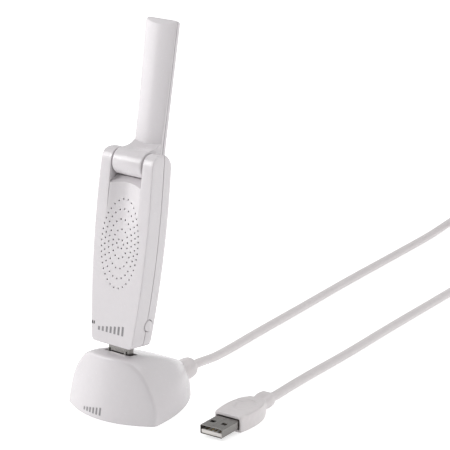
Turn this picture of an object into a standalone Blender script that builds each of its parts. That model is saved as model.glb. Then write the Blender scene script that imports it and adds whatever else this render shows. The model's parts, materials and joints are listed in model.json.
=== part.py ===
"""USB Wi-Fi adapter with a fold-up antenna, standing in a desk cradle with a USB lead.

World frame: the origin is on the cradle's rubber pad, where it rests; +X is the side with the button,
-Y the front and +Z up. Run it with: blender --background --python part.py
"""

import math

import bmesh
import bpy
from mathutils import Vector

MM = 0.001
GAP = 0.3 * MM

# Adapter body, in the adapter's own frame: x across, y towards the back, z along the body
LEAN = math.radians(8.7)
SEAT = (0.0, 2.2 * MM, 30.8 * MM)
BODY_HALF_DEPTH = 7.4 * MM
BODY_BOTTOM = 1.7 * MM
BODY_TOP = 91.7 * MM
BODY_HALF_WIDTH = 15.8 * MM
WIDEST_AT = 62.0 * MM
BOTTOM_TAPER = 3.7 * MM
TOP_TAPER = 0.7 * MM
WALL = 1.6 * MM
EDGE_ROUND = 0.8 * MM
SEAM_Y = 0.7 * MM
CAVITY_FRONT = -4.4 * MM
CAVITY_TOP = 75.2 * MM

# Fork at the top of the body
RECESS_HALF_WIDTH = 9.3 * MM
RECESS_FLOOR = 77.3 * MM
RECESS_BACK = 5.6 * MM
REAR_WALL_TOP = 83.6 * MM
DISH_DEPTH = 1.8 * MM
DISH_FADE = 30.0 * MM

# Antenna, in a frame on the hinge axis
HINGE_Y = -1.5 * MM
HINGE_Z = 86.0 * MM
ANTENNA_LEAN = math.radians(1.2)
BARREL_RADIUS = 6.3 * MM
BARREL_HALF_LENGTH = 8.4 * MM
BLADE_FOOT = 8.6 * MM
BLADE_TIP = 65.5 * MM
BLADE_HALF_WIDTH_LOW = 7.85 * MM
BLADE_HALF_WIDTH_HIGH = 8.9 * MM
BLADE_CROWN_Y = 6.6 * MM
BLADE_EDGE_Y = 8.4 * MM
BLADE_SEAM_Y = 9.2 * MM
BLADE_BACK_Y = 11.5 * MM
PIN_RADIUS = 2.3 * MM

# Side button
BUTTON_Y = 1.8 * MM
BUTTON_Z = 12.5 * MM
BUTTON_RADIUS = 2.6 * MM

# Status lenses
LENS_X = (-12.3 * MM, -11.15 * MM)

# USB-A connector
PLUG_WIDTH = 12.0 * MM
PLUG_HEIGHT = 4.5 * MM
PLUG_SKIN = 0.3 * MM
PLUG_REACH = 12.0 * MM
CONTACT_PITCH = (-3.5 * MM, -1.0 * MM, 1.0 * MM, 3.5 * MM)
CONTACT_WIDTH = 1.0 * MM
SOCKET_MOUTH = -3.5 * MM

# Cradle
CRADLE_HALF_WIDTH = 26.5 * MM
CRADLE_FRONT = -14.9 * MM
CRADLE_CORNER_Y = -4.5 * MM
CRADLE_REAR = 45.5 * MM
CRADLE_RIM = 0.3 * MM
CRADLE_HEIGHT = 29.2 * MM
CRADLE_SKIN = 2.2 * MM
FRONT_BOW = 75.5 * MM
FRONT_LEAN = math.atan(0.2)
COLLAR_RADIUS = 5.2 * MM
COLLAR_Z = 5.45 * MM
COLLAR_END = 54.2 * MM

# Lead
CORD_RADIUS = 2.25 * MM
CORD_STEP = 11.0 * MM
COIL_RADIUS = 26.4 * MM
COIL_CENTRE = (-2.6 * MM, 362.0 * MM)
COIL_LIFT = 0.8 * MM
COIL_HALF = 2 * CORD_RADIUS
FAR_ROUTE_MM = (
    (0.0, 54.5, 5.4),
    (-0.1, 60.5, 5.3),
    (-0.5, 67.0, 4.6),
    (-1.7, 75.0, 3.6),
    (-4.4, 91.0, 2.6),
    (-8.0, 119.0, 2.3),
    (-12.6, 165.0, 2.3),
    (-17.4, 211.0, 2.3),
    (-21.5, 258.0, 2.3),
    (-25.8, 305.0, 2.3),
    (-29.0, 342.0, 3.1),
)
NEAR_ROUTE_MM = (
    (23.8, 342.0, 3.1),
    (26.3, 310.0, 2.3),
    (31.5, 270.0, 2.3),
    (36.2, 232.0, 2.3),
    (41.2, 166.0, 2.3),
    (44.9, 123.0, 2.3),
    (47.2, 86.0, 2.3),
    (49.6, 66.5, 3.0),
    (51.9, 52.6, 3.75),
    (52.1, 47.4, 3.95),
)

# Plug on the lead, in its own frame: x across, y towards the lead, z up
FAR_PLUG_AT = (54.9 * MM, -0.7 * MM, 0.0)
FAR_PLUG_TURN = math.radians(3.4)
FAR_SHELL_LOW = 1.7 * MM
FAR_SHELL_REACH = 12.7 * MM
GRIP_FRONT = 13.1 * MM
GRIP_HEIGHT = 7.9 * MM


def clear_scene():
    for item in list(bpy.data.objects):
        bpy.data.objects.remove(item, do_unlink=True)


def new_collection(name):
    made = bpy.data.collections.new(name)
    bpy.context.scene.collection.children.link(made)
    return made


clear_scene()
PARTS = new_collection("usb_wifi_adapter")
CUTTERS = new_collection("cutters")


def material(name, colour, roughness, metallic=0.0):
    made = bpy.data.materials.new(name)
    made.use_nodes = True
    shader = made.node_tree.nodes["Principled BSDF"]
    shader.inputs["Base Color"].default_value = (*colour, 1.0)
    shader.inputs["Roughness"].default_value = roughness
    shader.inputs["Metallic"].default_value = metallic
    return made


COLOURS = {
    "shell_white": material("shell_white", (0.86, 0.85, 0.88), 0.28),
    "cord_white": material("cord_white", (0.84, 0.83, 0.85), 0.45),
    "nickel": material("nickel", (0.55, 0.52, 0.47), 0.25, 1.0),
    "steel": material("steel", (0.45, 0.45, 0.46), 0.45, 1.0),
    "gold": material("gold", (0.85, 0.62, 0.25), 0.3, 1.0),
    "board": material("board", (0.05, 0.22, 0.1), 0.5),
    "chip": material("chip", (0.03, 0.03, 0.03), 0.5),
    "insulator": material("insulator", (0.82, 0.82, 0.8), 0.4),
    "lens": material("lens", (0.1, 0.1, 0.11), 0.1),
    "rubber": material("rubber", (0.06, 0.06, 0.06), 0.8),
}


def frame(name, location, rotation=(0.0, 0.0, 0.0), parent=None):
    made = bpy.data.objects.new(name, None)
    PARTS.objects.link(made)
    made.parent = parent
    made.location = location
    made.rotation_euler = rotation
    return made


def place(name, mesh, at=(0, 0, 0), turn=(0, 0, 0), parent=None, colour=None):
    """A sub-part with a material, or a hidden cutter where no colour is given."""
    made = bpy.data.objects.new(name, mesh)
    made.location = at
    made.rotation_euler = turn
    made.parent = parent
    if colour:
        PARTS.objects.link(made)
        mesh.materials.append(COLOURS[colour])
        if hasattr(mesh, "shade_smooth"):
            mesh.shade_smooth()
            mesh.set_sharp_from_angle(angle=math.radians(35))
    else:
        CUTTERS.objects.link(made)
        made.hide_render = True
        made.display_type = "WIRE"
    return made


def mesh_from(bm, name):
    bmesh.ops.recalc_face_normals(bm, faces=bm.faces)
    mesh = bpy.data.meshes.new(name)
    bm.to_mesh(mesh)
    bm.free()
    return mesh


def round_edges(item, width, segments=2, angle=40.0):
    bevel = item.modifiers.new("round_edges", "BEVEL")
    bevel.width = width
    bevel.segments = segments
    bevel.limit_method = "ANGLE"
    bevel.angle_limit = math.radians(angle)
    return item


def combine(item, other, operation):
    cut = item.modifiers.new(operation.lower() + "_" + other.name, "BOOLEAN")
    cut.object = other
    cut.operation = operation
    cut.solver = "EXACT"
    return item


def box(name, low, high, parent=None, colour=None, rounding=0.0, turn=(0, 0, 0)):
    """A block between two corners, turned about its middle."""
    size = [high[i] - low[i] for i in range(3)]
    middle = [(high[i] + low[i]) / 2 for i in range(3)]
    bm = bmesh.new()
    bmesh.ops.create_cube(bm, size=1.0)
    bmesh.ops.scale(bm, vec=size, verts=bm.verts)
    made = place(name, mesh_from(bm, name), middle, turn, parent, colour)
    return round_edges(made, rounding) if rounding else made


AXIS_TURN = {"X": (0, math.pi / 2, 0), "Y": (math.pi / 2, 0, 0), "Z": (0, 0, 0)}


def rod(name, radius, length, axis, middle, parent=None, colour=None, sides=24, rounding=0.0):
    bm = bmesh.new()
    bmesh.ops.create_cone(
        bm, cap_ends=True, segments=sides, radius1=radius, radius2=radius, depth=length
    )
    made = place(name, mesh_from(bm, name), middle, AXIS_TURN[axis], parent, colour)
    return round_edges(made, rounding) if rounding else made


def turned(name, profile, axis, middle, parent=None, colour=None, steps=24, flatten=1.0):
    """A solid of revolution: the profile is (radius, height) pairs from the top down."""
    bm = bmesh.new()
    corners = [bm.verts.new((radius, 0.0, height)) for radius, height in profile]
    for upper, lower in zip(corners, corners[1:]):
        bm.edges.new((upper, lower))
    mesh = bpy.data.meshes.new(name)
    bm.to_mesh(mesh)
    bm.free()
    made = place(name, mesh, middle, AXIS_TURN[axis], parent, colour)
    screw = made.modifiers.new("turn", "SCREW")
    screw.steps = steps
    screw.render_steps = steps
    screw.use_merge_vertices = True
    screw.merge_threshold = 0.00001
    made.scale = (1.0, flatten, 1.0)
    return made


OUTLINE_TURN = {
    "front": (math.pi / 2, 0, 0),
    "side": (math.pi / 2, 0, math.pi / 2),
    "plan": (0, 0, 0),
}


def outline(name, points, thickness, seen_from, middle, parent=None, colour=None):
    """A flat outline given thickness: (x, z) points from the front, (y, z) from the side, (x, y) in plan."""
    curve = bpy.data.curves.new(name, "CURVE")
    curve.dimensions = "2D"
    curve.fill_mode = "BOTH"
    curve.extrude = thickness / 2
    spline = curve.splines.new("POLY")
    spline.points.add(len(points) - 1)
    for point, (u, v) in zip(spline.points, points):
        point.co = (u, v, 0.0, 1.0)
    spline.use_cyclic_u = True
    source = bpy.data.objects.new(name + "_curve", curve)
    CUTTERS.objects.link(source)
    bpy.context.view_layer.update()
    evaluated = source.evaluated_get(bpy.context.evaluated_depsgraph_get())
    raw = bpy.data.meshes.new_from_object(evaluated)
    bm = bmesh.new()
    bm.from_mesh(raw)
    bmesh.ops.remove_doubles(bm, verts=bm.verts, dist=0.000001)
    bmesh.ops.dissolve_limit(
        bm, angle_limit=math.radians(0.5), verts=bm.verts, edges=bm.edges
    )
    made = place(name, mesh_from(bm, name), middle, OUTLINE_TURN[seen_from], parent, colour)
    bpy.data.objects.remove(source, do_unlink=True)
    return made


def arc(centre, radius, start, end, steps):
    """Points on a round corner; the angles are in degrees."""
    angles = [math.radians(start + (end - start) * i / steps) for i in range(steps + 1)]
    return [(centre[0] + radius * math.cos(a), centre[1] + radius * math.sin(a)) for a in angles]


def loft(name, sections, parent=None, colour=None):
    """A closed solid through rings of equally many points."""
    bm = bmesh.new()
    rings = [[bm.verts.new(point) for point in section] for section in sections]
    count = len(rings[0])
    for near, far in zip(rings, rings[1:]):
        for i in range(count):
            j = (i + 1) % count
            bm.faces.new((near[i], near[j], far[j], far[i]))
    bm.faces.new(rings[0])
    bm.faces.new(rings[-1])
    return place(name, mesh_from(bm, name), parent=parent, colour=colour)


def smooth_route(points, step):
    """Even steps along a Catmull-Rom curve through the given points, in metres."""
    knots = [Vector(p) * MM for p in points]
    knots = [2 * knots[0] - knots[1], *knots, 2 * knots[-1] - knots[-2]]
    fine = []
    for a, b, c, d in zip(knots, knots[1:], knots[2:], knots[3:]):
        for i in range(40):
            t = i / 40
            fine.append(
                0.5 * (2 * b + (c - a) * t + (2 * a - 5 * b + 4 * c - d) * t * t
                       + (3 * b - a - 3 * c + d) * t ** 3)
            )
    fine.append(knots[-2])
    lengths = [0.0]
    for a, b in zip(fine, fine[1:]):
        lengths.append(lengths[-1] + (b - a).length)
    count = max(2, round(lengths[-1] / step))
    even = []
    j = 0
    for i in range(count + 1):
        want = lengths[-1] * i / count
        while j < len(fine) - 2 and lengths[j + 1] < want:
            j += 1
        span = lengths[j + 1] - lengths[j]
        even.append(fine[j].lerp(fine[j + 1], (want - lengths[j]) / span))
    return even


def tube(name, points, radius, colour, parent=None):
    """A round cord or wire with closed ends."""
    curve = bpy.data.curves.new(name, "CURVE")
    curve.dimensions = "3D"
    curve.bevel_depth = radius
    curve.bevel_resolution = 2
    curve.use_fill_caps = True
    spline = curve.splines.new("POLY")
    spline.points.add(len(points) - 1)
    for point, place_at in zip(spline.points, points):
        point.co = (*place_at, 1.0)
    made = bpy.data.objects.new(name, curve)
    made.parent = parent
    PARTS.objects.link(made)
    curve.materials.append(COLOURS[colour])
    return made


# ---------------------------------------------------------------- adapter body

def body_half_width(z):
    if z < WIDEST_AT:
        return BODY_HALF_WIDTH - BOTTOM_TAPER * ((WIDEST_AT - z) / (60 * MM)) ** 2
    return BODY_HALF_WIDTH - TOP_TAPER * ((z - WIDEST_AT) / (26 * MM)) ** 2


def body_outline(inset, bottom, top, corner):
    """The body seen from the front, from the bottom left corner round to the bottom right."""
    def width(z):
        return body_half_width(z) - inset

    right = arc((width(bottom + corner) - corner, bottom + corner), corner, -90, 0, 3)
    steps = 14
    for i in range(1, steps):
        z = bottom + corner + (top - bottom - 2 * corner) * i / steps
        right.append((width(z), z))
    right += arc((width(top - corner) - corner, top - corner), corner, 0, 90, 3)
    left = [(-x, z) for x, z in reversed(right)]
    return right + left


def body_profile(inset, bottom, top):
    """The body seen from the side: rounded over the top, chamfered at the rear of the bottom."""
    front = -BODY_HALF_DEPTH + inset
    rear = BODY_HALF_DEPTH - inset
    shoulder = top - 5.7 * MM
    points = [(front, bottom)]
    steps = 12
    for i in range(steps + 1):
        angle = math.pi * i / steps
        across = -math.cos(angle)
        power = 0.83 if across < 0 else 1.1
        reach = abs(across) ** power
        y = -reach * abs(front) if across < 0 else reach * rear
        points.append((y, shoulder + (top - shoulder) * math.sin(angle) ** 0.9))
    points += [(rear, bottom + 2.9 * MM), (rear - 0.5 * MM, bottom + 1.2 * MM)]
    points += [(rear - 2.6 * MM, bottom)]
    return points


def body_blank(name, inset, bottom, top, colour=None, parent=None):
    """The body's outer form, or its inside with an inset."""
    middle = (0, 0, 0)
    front_view = body_outline(inset, bottom, top + (2 * MM if colour else 0), 2.0 * MM)
    blank = outline(
        name, front_view, 2 * (BODY_HALF_DEPTH - inset), "front", middle, parent, colour
    )
    if colour:
        round_edges(blank, EDGE_ROUND, 2, 60)
        side = outline(
            name + "_profile", body_profile(inset, bottom, top), 40 * MM, "side", middle, parent
        )
        combine(blank, side, "INTERSECT")
    return blank


def recess_profile(far):
    """The gap between the ears seen from the side: its floor slopes up, then runs round the barrel."""
    gap = BARREL_RADIUS + 0.6 * MM
    floor = [(-far, RECESS_FLOOR - 1.7 * MM), (-BODY_HALF_DEPTH, RECESS_FLOOR - 1.7 * MM)]
    for degrees in range(250, 361, 10):
        angle = math.radians(degrees)
        floor.append((HINGE_Y + gap * math.cos(angle), HINGE_Z + gap * math.sin(angle)))
    top = BODY_TOP + far
    return floor + [(RECESS_BACK, HINGE_Z), (RECESS_BACK, top), (-far, top)]


def cover(name, stick, keep_front):
    """Front or rear half of the body, hollow below the fork."""
    shell = body_blank(name, 0.0, BODY_BOTTOM, BODY_TOP, "shell_white", stick)
    hollow = outline(
        name + "_hollow", body_outline(WALL, BODY_BOTTOM + WALL, CAVITY_TOP, 1.5 * MM),
        BODY_HALF_DEPTH - WALL - CAVITY_FRONT, "front",
        (0, (BODY_HALF_DEPTH - WALL + CAVITY_FRONT) / 2, 0), stick,
    )
    combine(shell, hollow, "DIFFERENCE")
    far = 60 * MM
    recess = outline(
        name + "_recess", recess_profile(far), 2 * RECESS_HALF_WIDTH, "side", (0, 0, 0), stick
    )
    combine(shell, recess, "DIFFERENCE")
    notch = box(
        name + "_notch", (-RECESS_HALF_WIDTH, RECESS_BACK - MM, REAR_WALL_TOP),
        (RECESS_HALF_WIDTH, far, BODY_TOP + far), stick,
    )
    combine(shell, notch, "DIFFERENCE")
    bore = rod(
        name + "_bore", PIN_RADIUS + GAP, 2 * 13.0 * MM, "X", (0, HINGE_Y, HINGE_Z), stick, sides=20
    )
    combine(shell, bore, "DIFFERENCE")
    plug_way = box(
        name + "_plug_way", (-PLUG_WIDTH / 2 - GAP, -PLUG_HEIGHT / 2 - GAP, 0),
        (PLUG_WIDTH / 2 + GAP, PLUG_HEIGHT / 2 + GAP, BODY_BOTTOM + 2 * WALL), stick,
    )
    combine(shell, plug_way, "DIFFERENCE")
    button_way = rod(
        name + "_button_way", BUTTON_RADIUS + GAP, 8 * MM, "X",
        (body_half_width(BUTTON_Z), BUTTON_Y, BUTTON_Z), stick, sides=24,
    )
    combine(shell, button_way, "DIFFERENCE")
    if keep_front:
        dish = dish_cutter(name + "_dish", stick)
        combine(shell, dish, "DIFFERENCE")
        for lens_x in LENS_X:
            slot = box(
                name + "_lens_way", (lens_x - 0.5 * MM, -far, 9.3 * MM),
                (lens_x + 0.5 * MM, -2 * MM, 11.1 * MM), stick,
            )
            combine(shell, slot, "DIFFERENCE")
    side = 1 if keep_front else -1
    edge = SEAM_Y - side * GAP / 2
    low, high = sorted((edge, edge + side * far))
    other_half = box(name + "_other_half", (-far, low, -far), (far, high, 2 * far), stick)
    combine(shell, other_half, "DIFFERENCE")
    return shell


def dish_cutter(name, stick):
    """A long shallow hollow in the front, deepest under the barrel and fading out downwards."""
    half = RECESS_HALF_WIDTH - 0.2 * MM
    radius = (half ** 2 + DISH_DEPTH ** 2) / (2 * DISH_DEPTH)
    tilt = math.atan2(DISH_DEPTH, DISH_FADE)
    axis_y = -BODY_HALF_DEPTH + DISH_DEPTH - radius
    cutter = rod(name, radius, 60 * MM, "Z", (0, axis_y, RECESS_FLOOR), stick, sides=96)
    cutter.rotation_euler = (-tilt, 0, 0)
    return cutter


def led_lenses(stick):
    for i, lens_x in enumerate(LENS_X):
        box(
            f"led_lens_{i + 1}", (lens_x - 0.4 * MM, -BODY_HALF_DEPTH - 0.05 * MM, 9.4 * MM),
            (lens_x + 0.4 * MM, -BODY_HALF_DEPTH + 2.2 * MM, 11.0 * MM), stick, "lens",
        )


def side_button(parent):
    """A domed round key with a flange behind the wall, turned about the x axis."""
    wall_x = body_half_width(BUTTON_Z)
    top = wall_x + 0.7 * MM
    flange_top = wall_x - WALL - 0.75 * MM
    profile = [(0.0, top), (1.3 * MM, top - 0.12 * MM), (2.2 * MM, top - 0.4 * MM)]
    profile += [(BUTTON_RADIUS, top - 0.95 * MM), (BUTTON_RADIUS, flange_top)]
    profile += [(3.3 * MM, flange_top), (3.3 * MM, flange_top - 0.7 * MM)]
    profile += [(0.0, flange_top - 0.7 * MM)]
    return turned(
        "side_button", profile, "X", (0, BUTTON_Y, BUTTON_Z), parent, "shell_white", 24
    )


def electronics(stick):
    board_front = -0.6 * MM
    board_back = 0.4 * MM
    box("main_board", (-9.6 * MM, board_front, 9.5 * MM), (9.6 * MM, board_back, 72 * MM),
        stick, "board")
    box("wifi_chip", (-3.5 * MM, board_front - GAP - 1.1 * MM, 36 * MM),
        (3.5 * MM, board_front - GAP, 43 * MM), stick, "chip")
    can = box("shield_can", (-8 * MM, board_front - GAP - 2.4 * MM, 30 * MM),
              (8 * MM, board_front - GAP, 48 * MM), stick, "nickel", 0.4 * MM)
    inside = box("shield_can_inside", (-7.6 * MM, board_front - GAP - 2.0 * MM, 30.4 * MM),
                 (7.6 * MM, 5 * MM, 47.6 * MM), stick)
    combine(can, inside, "DIFFERENCE")
    switch = box("tact_switch", (5.6 * MM, board_back + GAP, BUTTON_Z - 1.8 * MM),
                 (8.2 * MM, board_back + GAP + 2.4 * MM, BUTTON_Z + 1.8 * MM), stick, "chip")
    plunger = rod("tact_switch_plunger", 0.8 * MM, 2.4 * MM, "X",
                  (8.0 * MM, BUTTON_Y, BUTTON_Z), stick, sides=12)
    combine(switch, plunger, "UNION")
    lead = [(0.0, -2.4, 66.0), (1.5, -2.6, 70.0), (4.5, -2.6, 73.0)]
    tube("antenna_feed", smooth_route(lead, 2 * MM), 0.6 * MM, "chip", stick)


# ---------------------------------------------------------------- connectors

def plug_core(prefix, parent, shell_low, shell_high):
    """Metal shell, tongue and contacts of a USB-A plug that points along -z of its frame."""
    half_w = PLUG_WIDTH / 2
    half_h = PLUG_HEIGHT / 2
    shell = box(prefix + "shell", (-half_w, -half_h, shell_low), (half_w, half_h, shell_high),
                parent, "nickel", 0.5 * MM)
    inside = box(prefix + "shell_inside",
                 (-half_w + PLUG_SKIN, -half_h + PLUG_SKIN, shell_low - MM),
                 (half_w - PLUG_SKIN, half_h - PLUG_SKIN, shell_high + MM), parent)
    combine(shell, inside, "DIFFERENCE")
    latch_at = shell_low + 6.0 * MM
    for i, x in enumerate((-3.1 * MM, 3.1 * MM)):
        latch = box(f"{prefix}latch_{i}", (x - 1.25 * MM, -5 * MM, latch_at - 1.2 * MM),
                    (x + 1.25 * MM, 5 * MM, latch_at + 1.2 * MM), parent)
        combine(shell, latch, "DIFFERENCE")
    box(prefix + "tongue", (-5.4 * MM, -1.65 * MM, shell_low + 0.3 * MM),
        (5.4 * MM, -0.55 * MM, shell_high - 0.5 * MM), parent, "insulator")
    for i, x in enumerate(CONTACT_PITCH):
        box(f"{prefix}contact_{i + 1}", (x - CONTACT_WIDTH / 2, -0.25 * MM, shell_low + 0.8 * MM),
            (x + CONTACT_WIDTH / 2, -0.05 * MM, shell_low + 8.8 * MM), parent, "gold")


def socket(seat):
    """The cradle's receptacle: sleeve with a flared lip, tongue, contacts and board."""
    inner_w = PLUG_WIDTH / 2 + GAP
    inner_h = PLUG_HEIGHT / 2 + GAP
    skin = 0.35 * MM
    bottom = SOCKET_MOUTH - 13.5 * MM
    sleeve = box("socket_shell", (-inner_w - skin, -inner_h - skin, bottom),
                 (inner_w + skin, inner_h + skin, SOCKET_MOUTH), seat, "nickel")
    lip = box("socket_lip", (-7.6 * MM, -3.7 * MM, SOCKET_MOUTH - 0.4 * MM),
              (7.6 * MM, 3.7 * MM, SOCKET_MOUTH), seat)
    combine(sleeve, lip, "UNION")
    way = box("socket_way", (-inner_w, -inner_h, bottom - MM), (inner_w, inner_h, 0.0), seat)
    combine(sleeve, way, "DIFFERENCE")
    tongue = box("socket_tongue", (-5.4 * MM, 0.75 * MM, SOCKET_MOUTH - 10 * MM),
                 (5.4 * MM, 1.6 * MM, SOCKET_MOUTH - 0.8 * MM), seat, "insulator")
    foot = box("socket_tongue_foot", (-6.0 * MM, -2.2 * MM, bottom + 0.2 * MM),
               (6.0 * MM, 2.2 * MM, SOCKET_MOUTH - 8.0 * MM), seat)
    combine(tongue, foot, "UNION")
    for i, x in enumerate(CONTACT_PITCH):
        box(f"socket_contact_{i + 1}", (x - CONTACT_WIDTH / 2, 0.2 * MM, SOCKET_MOUTH - 7.6 * MM),
            (x + CONTACT_WIDTH / 2, 0.45 * MM, SOCKET_MOUTH - 1.4 * MM), seat, "gold")
    box("socket_board", (-9 * MM, -5 * MM, bottom - GAP - 1.0 * MM),
        (9 * MM, 5 * MM, bottom - GAP), seat, "board")


# ---------------------------------------------------------------- antenna

def blade_half_width(z):
    share = (z - BLADE_FOOT) / (BLADE_TIP - BLADE_FOOT)
    return BLADE_HALF_WIDTH_LOW + (BLADE_HALF_WIDTH_HIGH - BLADE_HALF_WIDTH_LOW) * share


def blade_outline(foot, tip, corner):
    """The blade seen from the front, wider at the tip, with rounded corners."""
    right = [(blade_half_width(foot), foot)]
    high = blade_half_width(tip - corner)
    right += arc((high - corner, tip - corner), corner, 0, 90, 4)
    return right + [(-x, z) for x, z in reversed(right)]


def antenna(pivot):
    front = rod("antenna_front_shell", BARREL_RADIUS, 2 * BARREL_HALF_LENGTH, "X", (0, 0, 0),
                pivot, "shell_white", 40, 0.7 * MM)
    neck_points = [(-1.0, 6.1), (1.2, 6.2), (4.0, 6.7), (6.6, 7.7), (7.4, 8.6), (7.4, 11.0)]
    neck_points += [(9.2, 11.0), (9.2, 1.4), (8.0, 0.2), (4.0, -0.6), (-1.0, 1.0)]
    neck = outline(
        "antenna_neck", [(y * MM, z * MM) for y, z in reversed(neck_points)],
        2 * BLADE_HALF_WIDTH_LOW - 0.1 * MM, "side", (0, 0, 0), pivot,
    )
    combine(front, neck, "UNION")
    depth = BLADE_SEAM_Y - BLADE_CROWN_Y
    crown = outline(
        "antenna_crown", blade_outline(BLADE_FOOT, BLADE_TIP, 3.5 * MM), depth, "front",
        (0, BLADE_CROWN_Y + depth / 2, 0), pivot,
    )
    rise = BLADE_EDGE_Y - BLADE_CROWN_Y
    crown_radius = (BLADE_HALF_WIDTH_HIGH ** 2 + rise ** 2) / (2 * rise)
    bow = rod("antenna_bow", crown_radius, 160 * MM, "Z",
              (0, BLADE_CROWN_Y + crown_radius, 30 * MM), pivot, sides=160)
    combine(crown, bow, "INTERSECT")
    bevel_cut = box("antenna_tip_bevel", (-20 * MM, -4 * MM, 0), (20 * MM, 8 * MM, 10 * MM), pivot,
                    turn=(math.radians(35), 0, 0))
    bevel_cut.location = (0, 4.6 * MM, BLADE_TIP + 2.6 * MM)
    combine(crown, bevel_cut, "DIFFERENCE")
    combine(front, crown, "UNION")
    pocket = box("antenna_pocket", (-6 * MM, 7.9 * MM, 12 * MM), (6 * MM, 12 * MM, 58 * MM), pivot)
    combine(front, pocket, "DIFFERENCE")
    pin_bore = rod("antenna_pin_bore", PIN_RADIUS + GAP, 30 * MM, "X", (0, 0, 0), pivot, sides=20)
    combine(front, pin_bore, "DIFFERENCE")

    depth = BLADE_BACK_Y - BLADE_SEAM_Y - GAP
    back = outline(
        "antenna_back_shell", blade_outline(1.0 * MM, BLADE_TIP, 3.5 * MM), depth, "front",
        (0, BLADE_BACK_Y - depth / 2, 0), pivot, "shell_white",
    )
    round_edges(back, 0.6 * MM, 2, 60)
    box("antenna_element", (-5.5 * MM, 8.3 * MM, 13 * MM), (5.5 * MM, 8.9 * MM, 57 * MM),
        pivot, "board")
    for side, sign in (("left", -1), ("right", 1)):
        rod(f"hinge_pin_{side}", PIN_RADIUS, 8.0 * MM, "X", (sign * 8.6 * MM, 0, 0), pivot,
            "steel", 20, 0.3 * MM)
        washer = rod(f"hinge_washer_{side}", 4.2 * MM, 0.5 * MM, "X", (sign * 8.85 * MM, 0, 0),
                     pivot, "insulator", 24)
        hole = rod(f"hinge_washer_{side}_hole", PIN_RADIUS + GAP, 3 * MM, "X",
                   (sign * 8.85 * MM, 0, 0), pivot, sides=20)
        combine(washer, hole, "DIFFERENCE")


# ---------------------------------------------------------------- cradle

def cradle_half_width(y, inset):
    """Half the cradle's width at its foot: full at the front corner, closing in a round tail."""
    reach = max(0.0, (y - CRADLE_CORNER_Y) / (CRADLE_REAR - inset - CRADLE_CORNER_Y))
    return (CRADLE_HALF_WIDTH - inset) * max(0.0, 1 - reach ** 2.1) ** 0.65


def cradle_spine(y):
    """Height of the cradle's back: level over the socket, then falling to the collar."""
    fall = max(0.0, y + 4 * MM) / (49.5 * MM)
    return CRADLE_HEIGHT - 18.6 * MM * fall ** 1.45


def cradle_form(name, inset, lid, rim, colour=None):
    """The cradle's arched form behind its bowed front face, made inset all round for its hollow."""
    sections = []
    steps = 16
    start = CRADLE_FRONT - 3 * MM
    end = CRADLE_REAR - inset - 0.25 * MM
    for i in range(steps + 1):
        share = math.sin(math.pi / 2 * i / steps)
        y = start + (end - start) * share
        half_width = cradle_half_width(y, inset)
        height = cradle_spine(y) - lid - rim
        ring = []
        around = 22
        for k in range(around + 1):
            angle = math.pi * k / around
            across = math.cos(angle)
            x = half_width * math.copysign(abs(across) ** 0.72, across)
            ring.append((x, y, rim + height * math.sin(angle) ** 0.96))
        sections.append(ring)
    form = loft(name, sections, colour=colour)
    bow = [(x * MM, (x * MM) ** 2 / FRONT_BOW) for x in range(-32, 33, 2)]
    bow += [(32 * MM, 90 * MM), (-32 * MM, 90 * MM)]
    face = outline(name + "_face", bow, 120 * MM, "plan", (0, CRADLE_FRONT + inset, 0))
    face.rotation_euler = (-FRONT_LEAN, 0, 0)
    return combine(form, face, "INTERSECT")


def cradle_plan(inset):
    """The cradle's footprint, anticlockwise from the front middle."""
    corner = CRADLE_HALF_WIDTH - inset
    right = []
    for i in range(9):
        x = corner * i / 8
        right.append((x, CRADLE_FRONT + inset + x * x / FRONT_BOW))
    for i in range(1, 13):
        y = CRADLE_CORNER_Y + (CRADLE_REAR - inset - 0.4 * MM - CRADLE_CORNER_Y) * math.sin(
            math.pi / 2 * i / 12
        )
        if y > right[-1][1]:
            right.append((cradle_half_width(y, inset), y))
    return right + [(-x, y) for x, y in reversed(right) if x > 1e-9]


def cradle(seat):
    housing = cradle_form("cradle_housing", 0.0, 0.0, CRADLE_RIM, "shell_white")
    hollow = cradle_form("cradle_hollow", CRADLE_SKIN, 4.6 * MM, -MM)
    combine(housing, hollow, "DIFFERENCE")
    pocket = box("cradle_pocket", (-7.9 * MM, -4.0 * MM, SOCKET_MOUTH - 0.7 * MM),
                 (7.9 * MM, 4.0 * MM, 20 * MM), seat)
    combine(housing, pocket, "DIFFERENCE")
    way = box("cradle_socket_way", (-7.0 * MM, -3.3 * MM, -14 * MM), (7.0 * MM, 3.3 * MM, 0), seat)
    combine(housing, way, "DIFFERENCE")
    collar_way = rod("cradle_collar_way", COLLAR_RADIUS - 1.2 * MM + GAP, 30 * MM, "Y",
                     (0, 44 * MM, COLLAR_Z), sides=24)
    combine(housing, collar_way, "DIFFERENCE")
    collar_seat = rod("cradle_collar_seat", COLLAR_RADIUS + GAP, 30 * MM, "Y",
                      (0, COLLAR_END - 13.5 * MM + 15 * MM, COLLAR_Z), sides=28)
    combine(housing, collar_seat, "DIFFERENCE")

    base = outline("cradle_base", cradle_plan(CRADLE_SKIN + 1.1 * MM), 1.6 * MM, "plan",
                   (0, 0, 2.0 * MM), None, "shell_white")
    neck_way = box("cradle_base_neck_way", (-4.5 * MM, 35.7 * MM, 0), (4.5 * MM, 60 * MM, 5 * MM))
    combine(base, neck_way, "DIFFERENCE")
    outline("rubber_pad", cradle_plan(5.0 * MM), 0.9 * MM, "plan", (0, 0, 0.45 * MM), None, "rubber")
    box("ballast_weight", (-10 * MM, 13 * MM, 3.1 * MM), (10 * MM, 29 * MM, 8.6 * MM), None,
        "steel", 0.8 * MM)
    for side, sign in (("left", -1), ("right", 1)):
        rod(f"base_screw_{side}", 1.3 * MM, 5.0 * MM, "Z", (sign * 15 * MM, 6 * MM, 5.6 * MM),
            None, "steel", 12)


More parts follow.
